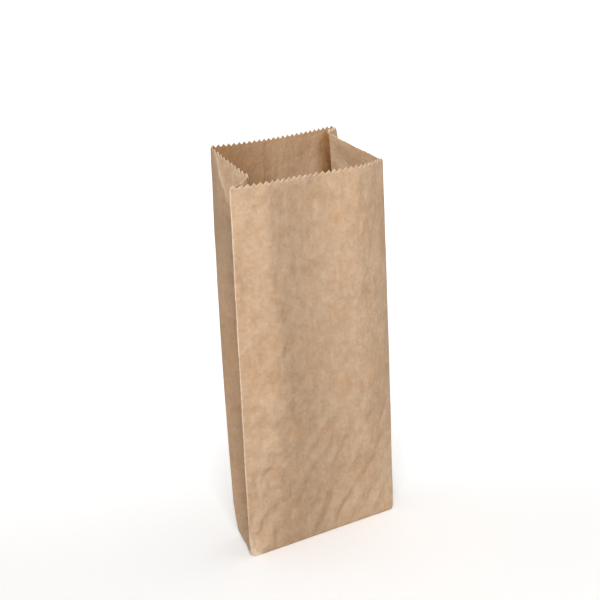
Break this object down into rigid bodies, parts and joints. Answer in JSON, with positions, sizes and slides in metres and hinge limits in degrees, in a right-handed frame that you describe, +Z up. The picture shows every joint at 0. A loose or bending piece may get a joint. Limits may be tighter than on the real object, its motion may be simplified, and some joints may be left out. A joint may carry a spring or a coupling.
{
  "type": "paper bag",
  "caption": "Side-gusseted brown kraft paper bag standing open, with folded-in sides, a flat bottom and a serrated mouth, for carrying food or small goods.",
  "frame": {"origin": "middle of the flat bottom, on the plane that the bag stands on", "axes": "+Z up to the open mouth, +X along the front panel, -Y out of the front panel"},
  "size_m": [0.1397, 0.0985, 0.2787],
  "materials": {
    "kraft_paper": "uncoated machine-glazed brown paper, matte"
  },
  "bodies": {
    "root": {"paper_bag": "kraft_paper"}
  },
  "joints": []
}
